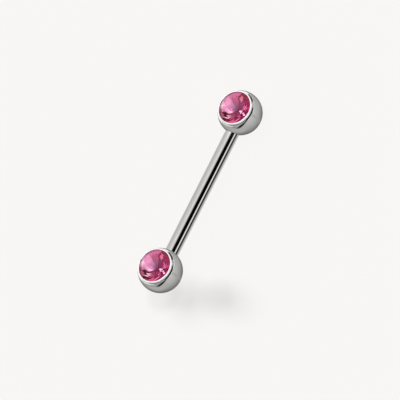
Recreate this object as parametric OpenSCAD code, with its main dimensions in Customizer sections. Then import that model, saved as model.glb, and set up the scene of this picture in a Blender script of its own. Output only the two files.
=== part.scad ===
// Straight barbell with a ball at each end, each holding a cut stone in a raised bezel.
// It lies on its balls with the stones facing up. All sizes are in millimetres.

/* [Bar] */
// Diameter of the bar
bar_d = 1.6; // [1.4:0.1:1.8]
// Length of the bar between its two shoulders
bar_len = 16; // [10:1:22]
// Width of the chamfer on each shoulder
bar_chamfer = 0.08; // [0.04:0.02:0.12]
// Diameter of the stud that enters each ball
stud_d = 1.2; // [1:0.1:1.2]
// Length of each stud beyond its shoulder
stud_len = 1; // [0.8:0.05:1]

/* [Balls] */
// Diameter of each ball
ball_d = 5; // [4.9:0.1:5.3]
// Distance of the bar's axis behind the ball's centre, away from the stone
bar_set_back = 0.45; // [0.4:0.05:0.6]
// Distance from the ball's centre to the face that the bar's shoulder meets
seat_face = 1.9; // [1.8:0.05:2]
// Clearance of the bar, its shoulders and its studs in the balls
fit_gap = 0.03; // [0.02:0.01:0.06]
// Radius of the edge where the ball's round surface meets the flat ledge round the bezel
ledge_r = 2.19; // [2.17:0.01:2.21]

/* [Bezel] */
// Radius of the bezel's opening, where its lip meets the stone
lip_r = 1.85; // [1.82:0.01:1.86]
// Radius of the bezel's outside at its foot, on the ledge
collar_foot_r = 2.06; // [2.05:0.01:2.08]
// Radius of the bezel's outside at its rim
collar_top_r = 2.05; // [2.04:0.01:2.06]
// Height of the bezel's rim above its lip
rim_lift = 0.13; // [0.11:0.01:0.15]

/* [Stones] */
// Diameter of each stone at its girdle
stone_d = 3.86; // [3.8:0.02:3.9]
// Height of the girdle's top above the ledge
girdle_lift = 0.16; // [0.14:0.01:0.18]
// Thickness of the girdle at its thinnest
girdle_t = 0.06; // [0.05:0.01:0.08]
// Share of the stone's diameter that its table takes
table_share = 0.66; // [0.55:0.01:0.7]
// Slope of the crown's main facets, in degrees
crown_slope = 33; // [30:1:36]
// Slope of the crown's girdle facets, in degrees
crown_girdle_slope = 41; // [39:1:43]
// Slope of the pavilion's main facets, in degrees
pavilion_slope = 36; // [34:0.5:37]
// Gap between a stone and its seat
stone_gap = 0.02; // [0.02:0.01:0.03]
// Turn of each stone in its bezel, in degrees
stone_turn = 34; // [0:1:45]

/* [Hidden] */
$fn = 96;

ball_r = ball_d / 2;
stone_r = stone_d / 2;
ball_x = bar_len / 2 + fit_gap + seat_face;
bar_z = ball_r - bar_set_back;

// The ball's round surface ends at this height, and the bezel stands up from there
ledge_h = sqrt(pow(ball_r, 2) - pow(ledge_r, 2));
girdle_h = ledge_h + girdle_lift;

// The lip clears the stone's girdle facets, and the rim above it has rounded edges
lip_h = girdle_h + (stone_r - lip_r) * tan(crown_girdle_slope) + stone_gap;
rim_h = lip_h + rim_lift;
rim_outer_round = 0.04;
rim_inner_round = 0.06;
lip_slant = 0.02;
round_step = 15;
hole_bottom_gap = 0.05;

// A tier has this many facets, or twice as many next to the girdle
tier = 8;
half_tier_angle = 180 / tier;
quarter_tier_angle = 90 / tier;
cutter = 3 * stone_d;

// Along the line between two mains, the girdle facets reach in to star_r, where the star facets begin
main_rise = tan(crown_slope);
girdle_rise = cos(quarter_tier_angle) * tan(crown_girdle_slope);
star_r = stone_r * (girdle_rise - main_rise) / (girdle_rise - cos(half_tier_angle) * main_rise);
star_h = girdle_h + (stone_r - star_r) * girdle_rise;
table_r = table_share * stone_r;
table_h = girdle_h + (stone_r - table_r) * main_rise;
table_edge_r = table_r * cos(half_tier_angle);
star_slope = atan((table_h - star_h) / (star_r - table_edge_r));

pavilion_h = girdle_h - girdle_t;
culet_h = pavilion_h - stone_r * tan(pavilion_slope);
pavilion_edge_rise = cos(half_tier_angle) * tan(pavilion_slope);

// Rod with a chamfer at each end, lying along X and centred on the origin
module rod(diameter, length, chamfer) {
    half = length / 2;
    radius = diameter / 2;
    rotate([0, 90, 0])
        rotate_extrude()
            polygon([[0, -half], [radius - chamfer, -half], [radius, -half + chamfer],
                     [radius, half - chamfer], [radius - chamfer, half], [0, half]]);
}

module bar() {
    color("silver")
        translate([0, 0, bar_z]) {
            rod(bar_d, bar_len, bar_chamfer);
            rod(stud_d, bar_len + 2 * stud_len, bar_chamfer);
        }
}

// Points of a round edge with the given centre, from angle a0 to angle a1
function round_edge(centre, radius, a0, a1) =
    [for (a = [a0:round_step:a1]) centre + radius * [cos(a), sin(a)]];

// Outline of the bezel from inside the ball, up its outside and over its rim, to the stone
module bezel_outline() {
    outer_centre = [collar_top_r - rim_outer_round, rim_h - rim_outer_round];
    inner_centre = [lip_r + lip_slant + rim_inner_round, rim_h - rim_inner_round];
    polygon(concat(
        [[0, 0], [collar_foot_r, 0], [collar_foot_r, ledge_h]],
        round_edge(outer_centre, rim_outer_round, 0, 90),
        round_edge(inner_centre, rim_inner_round, 90, 180),
        [[lip_r, lip_h], [0, lip_h]]
    ));
}

// Outline of the space for the stone, which the bezel's lip closes over the girdle
module seat_outline() {
    seat_r = stone_r + stone_gap;
    seat_rise = seat_r * pavilion_edge_rise;
    seat_bottom = culet_h - 2 * stone_gap;
    polygon([[0, seat_bottom], [seat_r, seat_bottom + seat_rise], [seat_r, girdle_h + stone_gap],
             [lip_r, lip_h], [lip_r, ball_r], [0, ball_r]]);
}

// Ball with its centre at the origin, its stone facing +Z and its stepped hole facing -X
module ball() {
    hole_end = seat_face - stud_len - hole_bottom_gap;
    color("silver")
        difference() {
            union() {
                difference() {
                    sphere(r = ball_r);
                    translate([-ball_r, -ball_r, ledge_h])
                        cube([ball_d, ball_d, ball_r]);
                }
                rotate_extrude()
                    bezel_outline();
            }
            rotate_extrude()
                seat_outline();
            translate([0, 0, -bar_set_back])
                rotate([0, -90, 0]) {
                    translate([0, 0, hole_end])
                        cylinder(h = ball_d, d = stud_d + 2 * fit_gap);
                    translate([0, 0, seat_face])
                        cylinder(h = ball_d, d = bar_d + 2 * fit_gap);
                }
        }
}

// Cuts a ring of flat facets whose planes meet on the axis at the height apex
module facets(count, first_angle, slope, apex) {
    for (i = [0:count - 1])
        rotate([0, 0, first_angle + i * 360 / count])
            translate([0, 0, apex])
                rotate([0, slope, 0])
                    translate([-cutter / 2, -cutter / 2, 0])
                        cube(cutter);
}

// Stone with its axis on +Z, its girdle at girdle_h and its culet below
module stone() {
    color("hotpink")
        difference() {
            translate([0, 0, culet_h])
                cylinder(h = table_h - culet_h, r = stone_r);
            facets(tier, 0, crown_slope, girdle_h + stone_r * main_rise);
            facets(tier, half_tier_angle, star_slope, table_h + table_edge_r * tan(star_slope));
            facets(2 * tier, quarter_tier_angle, crown_girdle_slope, girdle_h + stone_r * girdle_rise);
            mirror([0, 0, 1])
                facets(tier, 0, pavilion_slope, -culet_h);
        }
}

// Places a piece of the right or left end, turned so that its hole faces the bar
module at_end(side) {
    translate([side * ball_x, 0, ball_r])
        rotate([0, 0, side > 0 ? 0 : 180])
            children();
}

bar();
at_end(-1) ball();  // ball_left
at_end(1) ball();  // ball_right
at_end(-1) rotate([0, 0, stone_turn]) stone();  // stone_left
at_end(1) rotate([0, 0, stone_turn]) stone();  // stone_right
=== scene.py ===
import bpy
import numpy as np
from mathutils import Matrix, Vector


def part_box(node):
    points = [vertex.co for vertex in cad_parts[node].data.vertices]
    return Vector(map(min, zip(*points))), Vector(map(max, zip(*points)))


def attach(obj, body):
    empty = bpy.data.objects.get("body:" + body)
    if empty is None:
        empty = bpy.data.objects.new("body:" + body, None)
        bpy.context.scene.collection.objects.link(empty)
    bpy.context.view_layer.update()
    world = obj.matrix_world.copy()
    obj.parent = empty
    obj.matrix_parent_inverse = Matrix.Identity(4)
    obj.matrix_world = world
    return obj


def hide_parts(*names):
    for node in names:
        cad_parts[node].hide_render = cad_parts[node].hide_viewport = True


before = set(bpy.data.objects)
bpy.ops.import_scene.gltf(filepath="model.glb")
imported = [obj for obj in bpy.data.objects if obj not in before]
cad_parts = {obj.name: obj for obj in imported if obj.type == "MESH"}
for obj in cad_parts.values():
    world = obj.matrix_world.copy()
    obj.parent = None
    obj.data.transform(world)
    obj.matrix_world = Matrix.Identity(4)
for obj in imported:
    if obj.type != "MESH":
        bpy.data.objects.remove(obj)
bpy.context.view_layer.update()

mm = 0.001
ballNodes = ["ball_left", "ball_right"]
stoneNodes = ["stone_left", "stone_right"]
print("frame loaded:", sorted(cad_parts))


# Shader tools

class Value:
    # One output socket of a node tree. The operators add Math nodes to the tree.
    def __init__(self, tree, socket):
        self.tree = tree
        self.socket = socket

    def __add__(self, other):
        return self.tree.math("ADD", self, other)

    def __sub__(self, other):
        return self.tree.math("SUBTRACT", self, other)

    def __rsub__(self, other):
        return self.tree.math("SUBTRACT", other, self)

    def __mul__(self, other):
        return self.tree.math("MULTIPLY", self, other)

    def __truediv__(self, other):
        return self.tree.math("DIVIDE", self, other)

    def __rtruediv__(self, other):
        return self.tree.math("DIVIDE", other, self)

    def __gt__(self, other):
        return self.tree.math("GREATER_THAN", self, other)

    __radd__ = __add__
    __rmul__ = __mul__


class Tree:
    # The node tree of a material or a world, with one method that adds any node
    def __init__(self, owner):
        owner.use_nodes = True
        self.nodes = owner.node_tree.nodes
        self.links = owner.node_tree.links
        self.nodes.clear()

    def node(self, kind, settings=None, inputs=None, out=0):
        # The settings are set first. The inputs are values or links, by socket.
        made = self.nodes.new(kind)
        for name, value in (settings or {}).items():
            if name == "stops":
                self.setStops(made.color_ramp, value)
            elif name == "interpolation":
                made.color_ramp.interpolation = value
            else:
                setattr(made, name, value)
        for name, value in (inputs or {}).items():
            if isinstance(value, Value):
                self.links.new(value.socket, made.inputs[name])
            elif made.inputs[name].type == "RGBA":
                made.inputs[name].default_value = (*value, 1)
            else:
                made.inputs[name].default_value = value
        return Value(self, made.outputs[out]) if len(made.outputs) else made

    def setStops(self, ramp, stops):
        # stops: (position, colour) pairs in rising order
        while len(ramp.elements) < len(stops):
            ramp.elements.new(1.0)
        for element, (position, colour) in zip(ramp.elements, stops):
            element.position = position
            element.color = (*colour, 1.0)

    def math(self, operation, a, b=0.0):
        return self.node("ShaderNodeMath", {"operation": operation}, {0: a, 1: b})

    def between(self, x, low, high):
        # 0 below low, 1 above high, smooth in between
        settings = {"interpolation_type": "SMOOTHSTEP"}
        return self.node("ShaderNodeMapRange", settings, {"Value": x, "From Min": low, "From Max": high})

    def mix(self, factor, a, b):
        # Colour a at factor 0 and colour b at factor 1. Inputs 6 and 7 and output 2 are the node's colours.
        settings = {"data_type": "RGBA"}
        return self.node("ShaderNodeMix", settings, {"Factor": factor, 6: a, 7: b}, out=2)

    def noise(self, vector, scale, detail):
        return self.node("ShaderNodeTexNoise", None, {"Vector": vector, "Scale": scale, "Detail": detail})

    def coordinates(self, kind="Object"):
        return self.node("ShaderNodeTexCoord", out=kind)

    def parts(self, vector):
        # The x, y and z of a vector
        first = self.node("ShaderNodeSeparateXYZ", None, {"Vector": vector})
        return [Value(self, socket) for socket in first.socket.node.outputs]


# Mesh tools

sideShare = 0.48              # the most of an outline's side that one rounded corner takes
holdGap = 0.01 * mm           # between a straight stretch's end and the point that holds its shading
sharpAngle = 35               # degrees, edges sharper than this stay sharp


def roundCorners(points, reaches, steps):
    # Each inner corner of an outline becomes a curve: with the corner at C and its tangent points P and Q,
    # the curve is (1-t)^2 P + 2 t (1-t) C + t^2 Q. reaches has the distance from C to P for each corner.
    points = np.asarray(points, float)
    corners = points[1:-1]
    back = points[:-2] - corners
    ahead = points[2:] - corners
    backLength = np.linalg.norm(back, axis=1)
    aheadLength = np.linalg.norm(ahead, axis=1)
    reaches = np.minimum(reaches, sideShare * np.minimum(backLength, aheadLength))
    p = corners + back * (reaches / backLength)[:, None]
    q = corners + ahead * (reaches / aheadLength)[:, None]
    t = np.linspace(0, 1, steps)[:, None, None]
    curves = (1 - t) ** 2 * p + 2 * t * (1 - t) * corners + t ** 2 * q
    return np.concatenate([points[:1], curves.transpose(1, 0, 2).reshape(-1, 2), points[-1:]])


def arc(radius, start, end, steps):
    # radius (cos a, sin a), with a from start to end in degrees
    a = np.radians(np.linspace(start, end, steps))
    return np.stack([radius * np.cos(a), radius * np.sin(a)], axis=1)


def holdStraights(profile):
    # Every straight stretch longer than three gaps gets a point at one gap from each end, start + gap way and
    # end - gap way, with way its direction. They keep its shading straight.
    stretch = np.diff(profile, axis=0)
    length = np.linalg.norm(stretch, axis=1)
    step = stretch / length[:, None] * holdGap
    isLong = length > 3 * holdGap
    held = np.stack([profile[:-1] + step, profile[1:] - step], axis=1)[isLong]
    return np.insert(profile, np.repeat(np.flatnonzero(isLong) + 1, 2), held.reshape(-1, 2), axis=0)


def latheMesh(name, profile, centre, axis, side, segments):
    # A profile of (radius r, height h) turned about an axis through centre:
    # point = centre + r (cos t side + sin t other) + h axis, where other = axis x side.
    # The profile starts and ends on the axis, and each of those ends is one vertex.
    axis = np.asarray(axis, float)
    side = np.asarray(side, float)
    other = np.cross(axis, side)
    t = np.linspace(0, 2 * np.pi, segments, endpoint=False)
    outward = np.cos(t)[:, None] * side + np.sin(t)[:, None] * other
    r, h = profile[1:-1].T
    grid = (r[:, None, None] * outward + h[:, None, None] * axis).reshape(-1, 3)
    ends = profile[[0, -1], 1][:, None] * axis
    points = np.concatenate([grid, ends]) + np.asarray(centre)
    k = np.arange(len(grid)).reshape(len(r), segments)
    after = np.roll(k, -1, axis=1)
    quads = np.stack([k[:-1], after[:-1], after[1:], k[1:]], axis=-1).reshape(-1, 4)
    first = len(grid)
    caps = [np.stack([after[0], k[0], np.full(segments, first)], axis=-1),
            np.stack([k[-1], after[-1], np.full(segments, first + 1)], axis=-1)]
    mesh = bpy.data.meshes.new(name)
    mesh.from_pydata(points.tolist(), [], quads.tolist() + np.concatenate(caps).tolist())
    mesh.validate()
    return mesh


def addPiece(name, mesh, material):
    piece = bpy.data.objects.new(name, mesh)
    bpy.context.scene.collection.objects.link(piece)
    mesh.materials.append(material)
    return piece


def finishSurface(mesh):
    # Smooth everywhere but across the sharp edges
    mesh.shade_smooth()
    mesh.set_sharp_from_angle(angle=np.radians(sharpAngle))


# Steel

polish = {
    "cloudScale": 900.0,            # clouds in a metre
    "cloudDetail": 3.0,
    "grainScale": 9000.0,
    "grainDetail": 2.0,
    "grainDepth": 0.002 * mm,
}


def steel(name, look):
    # Clouds of slightly lighter and rougher steel, with a fine grain
    material = bpy.data.materials.new(name)
    tree = Tree(material)
    place = tree.coordinates()
    cloud = tree.noise(place, polish["cloudScale"], polish["cloudDetail"])
    grain = tree.noise(place, polish["grainScale"], polish["grainDetail"])
    colour = tree.mix(cloud, look["dark"], look["light"])
    roughness = look["roughness"] + (cloud - 0.5) * look["roughnessSpread"]
    if "bezel" in look:
        # painted reflections and a painted dark line on the bezel, with a smoother finish
        colour, roughness = polishAndPaintBezel(tree, place, colour, roughness, look["bezel"])
    bump = tree.node("ShaderNodeBump", None, {
        "Strength": look["bump"], "Distance": polish["grainDepth"], "Height": grain})
    shader = tree.node("ShaderNodeBsdfPrincipled", None, {
        "Base Color": colour, "Metallic": 1.0, "Roughness": roughness, "Specular Tint": look["edge"],
        "Normal": bump})
    tree.node("ShaderNodeOutputMaterial", None, {"Surface": shader})
    return material


# The bar

bar = {
    "diameter": 1.6 * mm,
    "chamfer": 0.08 * mm,
    "studDiameter": 1.2 * mm,
    "studLength": 1.0 * mm,
    "edgeRound": 0.02 * mm,
    "edgeSteps": 5,
    "segments": 192,
    "steel": {"light": (0.68, 0.67, 0.66), "dark": (0.64, 0.63, 0.62), "edge": (1, 1, 1),
              "roughness": 0.03, "roughnessSpread": 0.02, "bump": 0.02},
}


def buildBar():
    # Half of the outline, from the stud's end in to the shoulder, is mirrored about the middle and turned
    low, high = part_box("bar")
    half = (high.x - low.x) / 2
    shoulder = half - bar["studLength"]
    r = bar["diameter"] / 2
    stud = bar["studDiameter"] / 2
    c = bar["chamfer"]
    end = [(0, half), (stud - c, half), (stud, half - c),
           (stud, shoulder), (r - c, shoulder), (r, shoulder - c)]
    outline = np.array([(a, -b) for a, b in end] + end[::-1])
    rounded = roundCorners(outline, [bar["edgeRound"]] * (len(outline) - 2), bar["edgeSteps"])
    profile = holdStraights(rounded)
    mesh = latheMesh("bar_polished", profile, (low + high) / 2, (1, 0, 0), (0, 1, 0), bar["segments"])
    finishSurface(mesh)
    piece = addPiece("bar_polished", mesh, steel("barSteel", bar["steel"]))
    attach(piece, "root")
    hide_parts("bar")
    piece.visible_glossy = False    # the balls don't mirror it


# The balls

ball = {
    "diameter": 5.0 * mm,
    "ledgeRadius": 2.19 * mm,
    "collarFoot": 2.06 * mm,
    "collarTop": 2.05 * mm,
    "lipRadius": 1.85 * mm,
    "lipSlant": 0.02 * mm,
    "rimLift": 0.13 * mm,
    "boreSetBack": 0.45 * mm,
    "boreFace": 1.9 * mm,
    "boreEnd": 0.85 * mm,
    "boreGap": 0.03 * mm,
    "boreOutside": 3.5 * mm,        # where the cutter ends, outside the ball
    "boreSegments": 96,
    "segments": 320,
    "sphereSteps": 150,
    # How far the round of each edge reaches along its sides, from the ledge over the rim to the seat
    "edgeRounds": {"ledge": 0.02 * mm, "foot": 0.03 * mm, "rimOutside": 0.05 * mm, "rimInside": 0.07 * mm,
                   "lip": 0.01 * mm, "seat": 0.02 * mm},
    "edgeSteps": 8,
    "sphereTolerance": 0.0005 * mm,    # how far off the sphere the corners of a face on it may be
    "steel": {"light": (0.54, 0.54, 0.53), "dark": (0.50, 0.50, 0.49), "edge": (0.6, 0.6, 0.6),
              "roughness": 0.24, "roughnessSpread": 0.06, "bump": 0.12,
              # Painted reflections on the bezel and out over the ball to an outline round its foot, with a
              # painted dark line along it
              "bezel": {
                  "rim": (0.54, 0.54, 0.53),
                  "wallReflection": (0.92, 0.92, 0.91),
                  "ledge": (0.42, 0.42, 0.415),
                  "wallStart": (2.02 * mm, 2.04 * mm),       # radii between which the rim becomes the wall
                  "ledgeStart": (2.065 * mm, 2.08 * mm),
                  "roughness": 0.12,
                  "bottom": (0.3 * mm, 0.5 * mm),            # heights between which the smoother bezel and its painted reflections begin
                  "outline": 2.105 * mm,
                  "outlineFade": 0.03 * mm,
                  # the swell spreads the painted reflection further over the ball on one side
                  "swell": 0.21 * mm,
                  "swellMiddle": -160,                       # degrees about the ball's upright axis
                  # painted shadow and dark reflection along the bezel's foot
                  "line": (0.03, 0.03, 0.028),
                  "lineRoughness": 0.3,
                  "lineFade": (0.6, 1.0),                    # shares of its width between which it fades
                  "lineTop": (0.02 * mm, 0.04 * mm),         # heights above the ledge between which it ends
                  "arcs": [(-108, 52, 0.075 * mm), (-32, 20, 0.065 * mm)],
                  "arcCore": 0.6,                            # share of an arc in which the line is whole
                  "arcEndWidth": 0.3,                        # share of the line's width at an arc's ends
              }},
}


# The stones

stone = {
    "diameter": 3.86 * mm,
    "girdleLift": 0.16 * mm,
    "girdleThickness": 0.06 * mm,
    "crownGirdleSlope": 41,
    "pavilionSlope": 36,
    "gap": 0.02 * mm,
    "turn": 34,                             # degrees
    "ior": 1.56,
    "crown": (1.0, 0.80, 0.90),
    "gloss": (1.0, 0.40, 0.60),
    "foilRoughness": 0.3,
    "foilTop": (0.05 * mm, 0.02 * mm),      # depths under the girdle between which the foil ends
    "paintedGlow": 0.5,                            # a painted glow of the foil's tints, standing for light that the facets pass on to one another
    "heartFade": (0.05, 0.6),               # reaches between which a kite's heart fades into its outer tint
    "triangleDepth": 0.5,                   # how far the triangles reach in, as a share of the radius
    "diamondFade": (0.8, 1.0),              # shares of a diamond's size between which its edge fades
    # The pink in lighter and darker tints, from a painted glint's white to the painted shade of maroon
    "palette": {
        "white": (1.0, 0.95, 1.0),
        "pale": (1.0, 0.55, 0.80),
        "blossom": (1.0, 0.60, 0.86),
        "lilac": (0.92, 0.40, 0.68),
        "mauve": (0.70, 0.26, 0.46),
        "blush": (0.86, 0.32, 0.48),
        "pink": (0.64, 0.18, 0.33),
        "dusky": (0.50, 0.16, 0.28),
        "rose": (0.37, 0.07, 0.15),
        "plum": (0.30, 0.05, 0.15),
        "magenta": (0.195, 0.027, 0.073),
        "wine": (0.145, 0.011, 0.055),
        "crimson": (0.30, 0.035, 0.075),
        "maroon": (0.08, 0.003, 0.014),
        "violet": (0.195, 0.105, 0.18),
    },
    # Each sector's tints, painted light and shade of its facets: its kite's heart and outer part, and the
    # halves of triangles before and after it
    "sectors": [
        {"heart": "violet", "kite": "dusky", "early": "mauve", "late": "mauve"},
        {"heart": "violet", "kite": "lilac", "early": "pale", "late": "pale"},
        {"heart": "violet", "kite": "mauve", "early": "dusky", "late": "dusky"},
        {"heart": "wine", "kite": "rose", "early": "maroon", "late": "pink"},
        {"heart": "wine", "kite": "magenta", "early": "rose", "late": "magenta"},
        {"heart": "wine", "kite": "magenta", "early": "magenta", "late": "maroon"},
        {"heart": "wine", "kite": "magenta", "early": "crimson", "late": "crimson"},
        {"heart": "magenta", "kite": "plum", "early": "rose", "late": "rose"},
    ],
    # The painted reflections, each a diamond: its middle in sectors round from the first, half its width in
    # sectors, its reach from and to as shares of the radius, its lean in sectors for one radius further out,
    # and its tint, white for a painted glint and maroon for painted shade
    "reflectionDiamonds": [
        (2.45, 0.42, 0.20, 0.88, -1.8, "blossom"),
        (2.45, 0.55, 0.74, 1.20, 0, "rose"),
        (2.92, 0.40, 0.38, 0.84, -2.4, "maroon"),
        (3.38, 0.36, 0.50, 1.00, -2.2, "maroon"),
        (3.20, 0.16, 0.43, 0.80, -2.0, "white"),
        (3.85, 0.20, 0.50, 0.90, 0, "pink"),
        (4.44, 0.18, 0.32, 0.88, -1.7, "blush"),
        (4.70, 0.14, 0.56, 0.86, 0, "maroon"),
        (5.60, 0.36, 0.12, 0.42, 0, "white"),
        (5.40, 0.18, 0.38, 0.66, 0, "white"),
        (6.50, 0.20, 0.36, 0.60, 3.5, "pink"),
        (1.40, 0.50, 0.44, 0.80, 0, "pale"),
        (0.50, 0.75, 0.66, 1.14, 0, "mauve"),
        (7.25, 0.60, 0.56, 1.12, 0, "crimson"),
        (7.80, 0.40, 0.32, 0.98, 0, "crimson"),
        (7.67, 0.22, 0.44, 0.77, 1.6, "blush"),
        (1.82, 0.38, 0.70, 1.02, 0, "white"),
    ],
}

facetCount = 8                      # sectors of the pavilion, one for each of its facets
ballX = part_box("ball_right")[1].x - ball["diameter"] / 2
ballZ = ball["diameter"] / 2


def findLevels():
    # Heights above the ball's centre, in the order in which they stand on one another
    r = ball["diameter"] / 2
    stoneRadius = stone["diameter"] / 2
    seatRadius = stoneRadius + stone["gap"]
    crownRise = np.tan(np.radians(stone["crownGirdleSlope"]))
    pavilionRise = np.tan(np.radians(stone["pavilionSlope"]))
    ledge = np.sqrt(r ** 2 - ball["ledgeRadius"] ** 2)
    girdle = ledge + stone["girdleLift"]
    lip = girdle + (stoneRadius - ball["lipRadius"]) * crownRise + stone["gap"]
    seatBottom = girdle - stone["girdleThickness"] - stoneRadius * pavilionRise - 2 * stone["gap"]
    seatFoot = seatBottom + seatRadius * np.cos(np.pi / facetCount) * pavilionRise
    heights = {"ledge": ledge, "girdle": girdle, "lip": lip, "rim": lip + ball["rimLift"],
               "seatBottom": seatBottom, "seatFoot": seatFoot}
    return {name: float(height) for name, height in heights.items()}


levels = findLevels()


def ballPlace(tree, place):
    # The radius and height of a point of either ball about its own centre, and its direction there, as (x, y)
    x, y, z = tree.parts(place)
    side = (x > 0) * 2 - 1
    across = x - side * ballX
    radius = tree.math("SQRT", across * across + y * y)
    return radius, z - ballZ, across / radius, y / radius


def polishAndPaintBezel(tree, place, colour, roughness, look):
    # The bezel and the ball beside its foot, out to an outline round the foot, get a smoother finish and
    # painted reflections: the rim, a much lighter wall and the ledge each in a painted tint. The outline's
    # radius grows by swell s^2, where s is 2 cos a - 1, or 0 where that is less, and a is the angle off the
    # swell's middle, which spreads the painted reflection over the ball there. Along the arcs in
    # look["arcs"], each with its middle and half its width in degrees about the ball's upright axis and half
    # the line's width, the outline is a painted dark line of shadow and reflection.
    radius, height, alongX, alongY = ballPlace(tree, place)

    def towards(degrees):
        return alongX * float(np.cos(np.radians(degrees))) + alongY * float(np.sin(np.radians(degrees)))

    share = tree.math("MAXIMUM", towards(look["swellMiddle"]) * 2 - 1, 0)
    outline = look["outline"] + share * share * look["swell"]
    upper = tree.between(height, *look["bottom"])
    # Inside the outline the colour is a painted reflection: the rim's, the wall's or the ledge's tint
    bezel = (1 - tree.between(radius, outline - look["outlineFade"], outline)) * upper
    tint = tree.mix(tree.between(radius, *look["wallStart"]), look["rim"], look["wallReflection"])
    tint = tree.mix(tree.between(radius, *look["ledgeStart"]), tint, look["ledge"])
    colour = tree.mix(bezel, colour, tint)
    roughness = roughness + bezel * (look["roughness"] - roughness)
    # The painted dark line of shadow and reflection along the outline
    offset = tree.math("ABSOLUTE", radius - outline)
    line = 0
    for middle, half, width in look["arcs"]:
        low, high = np.cos(np.radians([half, half * look["arcCore"]]))
        here = tree.between(towards(middle), float(low), float(high))
        wide = width * (look["arcEndWidth"] + (1 - look["arcEndWidth"]) * here)
        dark = here * (1 - tree.between(offset / wide, *look["lineFade"]))
        line = tree.math("MAXIMUM", dark, line)
    low, high = [levels["ledge"] + lift for lift in look["lineTop"]]
    line = line * upper * (1 - tree.between(height, low, high))
    return tree.mix(line, colour, look["line"]), roughness + line * look["lineRoughness"]


def ballProfile():
    # Up the sphere to the ledge, over the bezel and down its seat to the middle. The round of the ledge's
    # edge takes the place of the sphere's last two points.
    seatRadius = stone["diameter"] / 2 + stone["gap"]
    edgeAngle = np.degrees(np.arctan2(levels["ledge"], ball["ledgeRadius"]))
    sphere = arc(ball["diameter"] / 2, -90, edgeAngle, ball["sphereSteps"])
    sphere[0, 0] = 0
    rounds = ball["edgeRounds"]
    corners = [
        (ball["ledgeRadius"], levels["ledge"], rounds["ledge"]),
        (ball["collarFoot"], levels["ledge"], rounds["foot"]),
        (ball["collarTop"], levels["rim"], rounds["rimOutside"]),
        (ball["lipRadius"] + ball["lipSlant"], levels["rim"], rounds["rimInside"]),
        (ball["lipRadius"], levels["lip"], rounds["lip"]),
        (seatRadius, levels["girdle"] + stone["gap"], rounds["seat"]),
        (seatRadius, levels["seatFoot"], rounds["seat"]),
    ]
    radii, heights, reaches = zip(*corners)
    outline = [sphere[-3], *zip(radii, heights), (0, levels["seatBottom"])]
    bezel = holdStraights(roundCorners(outline, reaches, ball["edgeSteps"]))
    return np.concatenate([sphere[:-3], bezel])


def boreMesh(centre, towardsBar):
    # The stepped hole for the bar, as a solid to take away
    wide = bar["diameter"] / 2 + ball["boreGap"]
    narrow = bar["studDiameter"] / 2 + ball["boreGap"]
    end, face, outside = ball["boreEnd"], ball["boreFace"], ball["boreOutside"]
    outline = np.array([(0, end), (narrow, end), (narrow, face), (wide, face), (wide, outside), (0, outside)])
    middle = centre - Vector((0, 0, ball["boreSetBack"]))
    return latheMesh("bore", outline, middle, (towardsBar, 0, 0), (0, 1, 0), ball["boreSegments"])


def roundShading(mesh, centre, radius):
    # The boolean's long faces would shade unevenly, so each face on the sphere gets the sphere's own normals:
    # normal = (point - centre) / length. The other faces keep theirs.
    points = np.empty(len(mesh.vertices) * 3)
    mesh.vertices.foreach_get("co", points)
    away = points.reshape(-1, 3) - np.asarray(centre)
    length = np.linalg.norm(away, axis=1)
    corners = np.empty(len(mesh.loops), int)
    mesh.loops.foreach_get("vertex_index", corners)
    starts = np.empty(len(mesh.polygons), int)
    mesh.polygons.foreach_get("loop_start", starts)
    sizes = np.empty(len(mesh.polygons), int)
    mesh.polygons.foreach_get("loop_total", sizes)
    off = np.abs(length[corners] - radius)
    onSphere = np.repeat(np.maximum.reduceat(off, starts) < ball["sphereTolerance"], sizes)
    normals = np.empty(len(mesh.loops) * 3)
    mesh.corner_normals.foreach_get("vector", normals)
    normals = normals.reshape(-1, 3)
    normals[onSphere] = (away / length[:, None])[corners[onSphere]]
    mesh.normals_split_custom_set(normals.tolist())


def buildBall(node, material):
    side = 1 if node == "ball_right" else -1
    centre = Vector((side * ballX, 0, ballZ))
    mesh = latheMesh(node + "_turned", ballProfile(), centre, (0, 0, 1), (1, 0, 0), ball["segments"])
    piece = addPiece(node + "_turned", mesh, material)
    cutter = addPiece("cutter", boreMesh(centre, -side), material)
    cut = piece.modifiers.new("bore", "BOOLEAN")
    cut.operation = "DIFFERENCE"
    cut.solver = "EXACT"
    cut.object = cutter
    evaluated = piece.evaluated_get(bpy.context.evaluated_depsgraph_get())
    bored = bpy.data.meshes.new_from_object(evaluated)
    piece.modifiers.clear()
    piece.data = bored
    bpy.data.objects.remove(cutter)
    finishSurface(bored)
    roundShading(bored, centre, ball["diameter"] / 2)
    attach(piece, "root")
    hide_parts(node)


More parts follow.
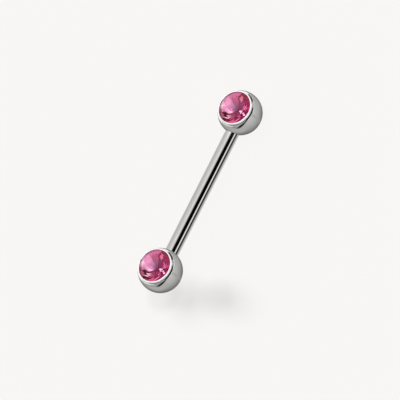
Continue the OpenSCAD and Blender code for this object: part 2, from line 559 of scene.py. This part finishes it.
def crystal(name, look):
    # Clear pink glass above the girdle and pink foil below it. Each of the pavilion's sectors holds a kite
    # that narrows from the culet out to the girdle and half of a triangle on each side of it, in tints of
    # their own: lighter and darker pinks that are painted light and shade. A few small diamonds over them are
    # painted reflections of facets, some white as painted glints and some maroon as painted shade. A point is
    # inside one where away + along < 1: away is its distance from the middle round the stone and along the
    # one outwards, each as a share of half the diamond's size. The foil's tints also glow, a painted glow for
    # the light that the facets pass on to one another.
    material = bpy.data.materials.new(name)
    tree = Tree(material)
    radius, height, alongX, alongY = ballPlace(tree, tree.coordinates())
    reach = radius / (look["diameter"] / 2)
    low, high = [levels["girdle"] - depth for depth in look["foilTop"]]
    foil = 1 - tree.between(height, low, high)
    angle = tree.math("ARCTAN2", alongY, alongX) - np.radians(look["turn"])
    sector = tree.math("FRACT", angle / (2 * np.pi) + 0.5 / facetCount + 1)
    side = tree.math("FRACT", sector * facetCount) - 0.5
    tints = {}
    # Each facet's painted light and shade
    for part in ("heart", "kite", "early", "late"):
        stops = [(k / facetCount, look["palette"][row[part]]) for k, row in enumerate(look["sectors"])]
        settings = {"stops": stops, "interpolation": "CONSTANT"}
        tints[part] = tree.node("ShaderNodeValToRGB", settings, {"Fac": sector})
    kite = tree.mix(tree.between(reach, *look["heartFade"]), tints["heart"], tints["kite"])
    triangle = tree.mix(side > 0, tints["early"], tints["late"])
    outer = reach > 1 - look["triangleDepth"] * 2 * tree.math("ABSOLUTE", side)
    tint = tree.mix(outer, kite, triangle)
    # The painted reflections: glints, dark facets and other tints
    for middle, half, inner, end, lean, shade in look["reflectionDiamonds"]:
        out = reach - (inner + end) / 2
        around = sector - out * lean / facetCount - middle / facetCount + 1
        away = tree.math("PINGPONG", around, 0.5) * facetCount / half
        along = tree.math("ABSOLUTE", out) / ((end - inner) / 2)
        inside = 1 - tree.between(away + along, *look["diamondFade"])
        tint = tree.mix(inside, tint, look["palette"][shade])
    # The foil's painted tints also shine by themselves as a painted glow
    shader = tree.node("ShaderNodeBsdfPrincipled", None, {
        "Base Color": tree.mix(foil, look["crown"], tint), "Metallic": foil,
        "Roughness": foil * look["foilRoughness"], "IOR": look["ior"], "Specular Tint": look["gloss"],
        "Transmission Weight": 1.0, "Emission Color": tree.mix(foil, (0.0, 0.0, 0.0), tint),
        "Emission Strength": look["paintedGlow"]})
    tree.node("ShaderNodeOutputMaterial", None, {"Surface": shader})
    return material


def dressStones():
    material = crystal("pinkCrystal", stone)
    for node in stoneNodes:
        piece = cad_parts[node]
        piece.data.materials.clear()
        piece.data.materials.append(material)


# The stage

stage = {
    "floorSize": 3.0,
    "floorColour": (0.02, 0.02, 0.02),
    "floorRoughness": 0.9,
    "floorGlow": (0.473, 0.456, 0.447),    # about half of the floor's brightness, with the rest from the keys
    # Brightness by the angle about the bar in degrees: 0 is the horizon in front of it, 90 overhead, 180 the
    # horizon behind it and 270 straight down. The tent is the strip that the bar mirrors.
    "tent": [(0, 0.5), (8, 1.15), (18, 1.15), (23, 0.0), (69, 0.0), (79, 0.55), (92, 1.04), (108, 0.95),
             (144, 0.75), (180, 0.68), (200, 0.7), (270, 0.9), (300, 0.75), (324, 0.37), (335, 0.1),
             (340, 0.0), (356, 0.0), (360, 0.5)],
    # The x, on a dome of radius 1, at which the tent begins, is whole, starts to end and has ended
    "tentReach": (0.155, 0.168, 0.192, 0.205),
    "dome": [(0, 1.0), (18, 1.4), (24, 0.15), (66, 0.15), (78, 1.6), (95, 2.5), (150, 2.5), (180, 1.0),
             (225, 0.6), (240, 0.4), (270, 0.4), (310, 0.7), (345, 0.95), (360, 1.0)],
    # The dome beyond the bar's ends, above and below the horizon: where it begins, where it is whole, and its
    # brightness
    "sideAbove": (0.3, 0.5, 0.45),
    "sideBelow": (0.45, 0.75, 0.8),
    "horizon": (0.0, 0.15),         # heights on the dome between which the lower half becomes the upper
    # Soft round lamps and a dark flag on the dome, each with its way, its half angle in degrees and its
    # brightness
    "lamps": [((0.68, -0.64, 0.36), 22, 3.0), ((0.13, 0.14, 0.98), 11, 6.0), ((0.279, 0.034, 0.96), 4, 5.0),
              ((-0.3, 0.75, 0.58), 15, 0.25)],
    "lampCore": 0.6,                # share of a lamp's half angle in which it is whole
    "strongest": 2.5,               # brightness of the colour ramps' white
    # Soft lamps for the floor's shadow, each with the way to it, its strength and its angle in degrees
    "keys": [((0.28, 0.65, 0.71), 41, 32), ((0.45, 0.08, 0.89), 14, 16), ((0.0, 0.90, 0.44), 65, 16)],
}

photo = {
    "size": 400,                    # px, both ways
    "pxPerMm": 9.05,
    "barAcross": 0.4516,            # the bar's direction in the picture
    "barUp": 0.8922,
    "middleAcross": 0.36,           # px, the middle of the bar right of the picture's centre
    "middleUp": 8.53,               # px, and above it
    "towardsCamera": (-0.18, -0.5216, 0.834),
    "lens": 500.0,
    "sensor": 36.0,
    "clip": (0.01, 10.0),
}


def addFloor():
    half = stage["floorSize"] / 2
    mesh = bpy.data.meshes.new("floor")
    corners = [(-half, -half, 0), (half, -half, 0), (half, half, 0), (-half, half, 0)]
    mesh.from_pydata(corners, [], [(0, 1, 2, 3)])
    material = bpy.data.materials.new("paleFloor")
    tree = Tree(material)
    shader = tree.node("ShaderNodeBsdfPrincipled", None, {
        "Base Color": stage["floorColour"], "Roughness": stage["floorRoughness"], "Specular IOR Level": 0.0,
        "Emission Color": stage["floorGlow"], "Emission Strength": 1.0})
    tree.node("ShaderNodeOutputMaterial", None, {"Surface": shader})
    floor = addPiece("floor", mesh, material)
    floor.visible_glossy = False    # the polish mirrors the dome's lower half in its place
    return floor


def rampGrey(brightness):
    # The grey that stands for a brightness, as a share of the strongest
    return (brightness / stage["strongest"],) * 3


def addWorld():
    # A dome whose brightness follows lift = atan2(z, -y) as a share of the full turn, with the tent's
    # narrower strips across it where x is within the tent's reach. Below the horizon is the floor as the
    # polish sees it, darker straight down where the object shades it.
    world = bpy.data.worlds.new("studio")
    bpy.context.scene.world = world
    tree = Tree(world)
    x, y, z = tree.parts(tree.coordinates("Generated"))
    lift = tree.math("FRACT", tree.math("ARCTAN2", z, 0 - y) / (2 * np.pi) + 1)
    strips = {}
    for name in ("tent", "dome"):
        stops = [(degrees / 360, rampGrey(brightness)) for degrees, brightness in stage[name]]
        strips[name] = tree.node("ShaderNodeValToRGB", {"stops": stops}, {"Fac": lift})
    light = strips["dome"]
    upper = tree.between(z, *stage["horizon"])
    for share, low, high, brightness in ((upper, *stage["sideAbove"]), (1 - upper, *stage["sideBelow"])):
        beside = share * tree.between(tree.math("ABSOLUTE", x), low, high)
        light = tree.mix(beside, light, rampGrey(brightness))
    for way, angle, brightness in stage["lamps"]:
        way = Vector(way).normalized()
        towards = x * way.x + y * way.y + z * way.z
        low, high = np.cos(np.radians([angle, angle * stage["lampCore"]]))
        light = tree.mix(tree.between(towards, float(low), float(high)), light, rampGrey(brightness))
    begin, whole, wane, gone = stage["tentReach"]
    tent = tree.between(x, begin, whole) * (1 - tree.between(x, wane, gone))
    light = tree.mix(tent, light, strips["tent"])
    shader = tree.node("ShaderNodeBackground", None, {"Color": light, "Strength": stage["strongest"]})
    tree.node("ShaderNodeOutputWorld", None, {"Surface": shader})


def addCamera():
    # The picture's right and up axes follow from the bar's direction in the picture
    toCamera = Vector(photo["towardsCamera"]).normalized()
    alongBar = (Vector((1, 0, 0)) - toCamera * toCamera.x).normalized()
    acrossBar = toCamera.cross(alongBar)
    length = float(np.hypot(photo["barAcross"], photo["barUp"]))
    a, b = photo["barAcross"] / length, photo["barUp"] / length
    right = a * alongBar - b * acrossBar
    up = b * alongBar + a * acrossBar
    pxSize = mm / photo["pxPerMm"]
    middle = Vector((0, 0, ballZ))
    target = middle - right * photo["middleAcross"] * pxSize - up * photo["middleUp"] * pxSize
    distance = photo["size"] * pxSize * photo["lens"] / photo["sensor"]
    camera = bpy.data.objects.new("camera", bpy.data.cameras.new("camera"))
    bpy.context.scene.collection.objects.link(camera)
    camera.data.lens = photo["lens"]
    camera.data.sensor_width = photo["sensor"]
    camera.data.clip_start, camera.data.clip_end = photo["clip"]
    turn = Matrix((right, up, toCamera)).transposed().to_4x4()
    camera.matrix_world = Matrix.Translation(target + toCamera * distance) @ turn
    bpy.context.scene.camera = camera


def addKeys(caster, floor):
    # They light the floor alone, and only the caster throws their shadow
    casters = bpy.data.collections.new("shadowCasters")
    casters.objects.link(caster)
    lit = bpy.data.collections.new("shadowFloor")
    lit.objects.link(floor)
    for way, strength, angle in stage["keys"]:
        light = bpy.data.lights.new("key", "SUN")
        light.energy = strength
        light.angle = np.radians(angle)
        key = bpy.data.objects.new("key", light)
        bpy.context.scene.collection.objects.link(key)
        key.rotation_mode = "QUATERNION"
        key.rotation_quaternion = Vector(way).to_track_quat("Z", "Y")
        key.visible_glossy = False
        key.light_linking.blocker_collection = casters
        key.light_linking.receiver_collection = lit


buildBar()
print("bar built")
ballSteel = steel("ballSteel", ball["steel"])
for ballNode in ballNodes:
    buildBall(ballNode, ballSteel)
print("balls built")
dressStones()
print("stones dressed")
addWorld()
addKeys(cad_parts["stone_left"], addFloor())    # this stone's shadow is as flat as the photo's
addCamera()
bpy.context.scene.view_settings.view_transform = "Standard"
print("floor, lights and camera set")
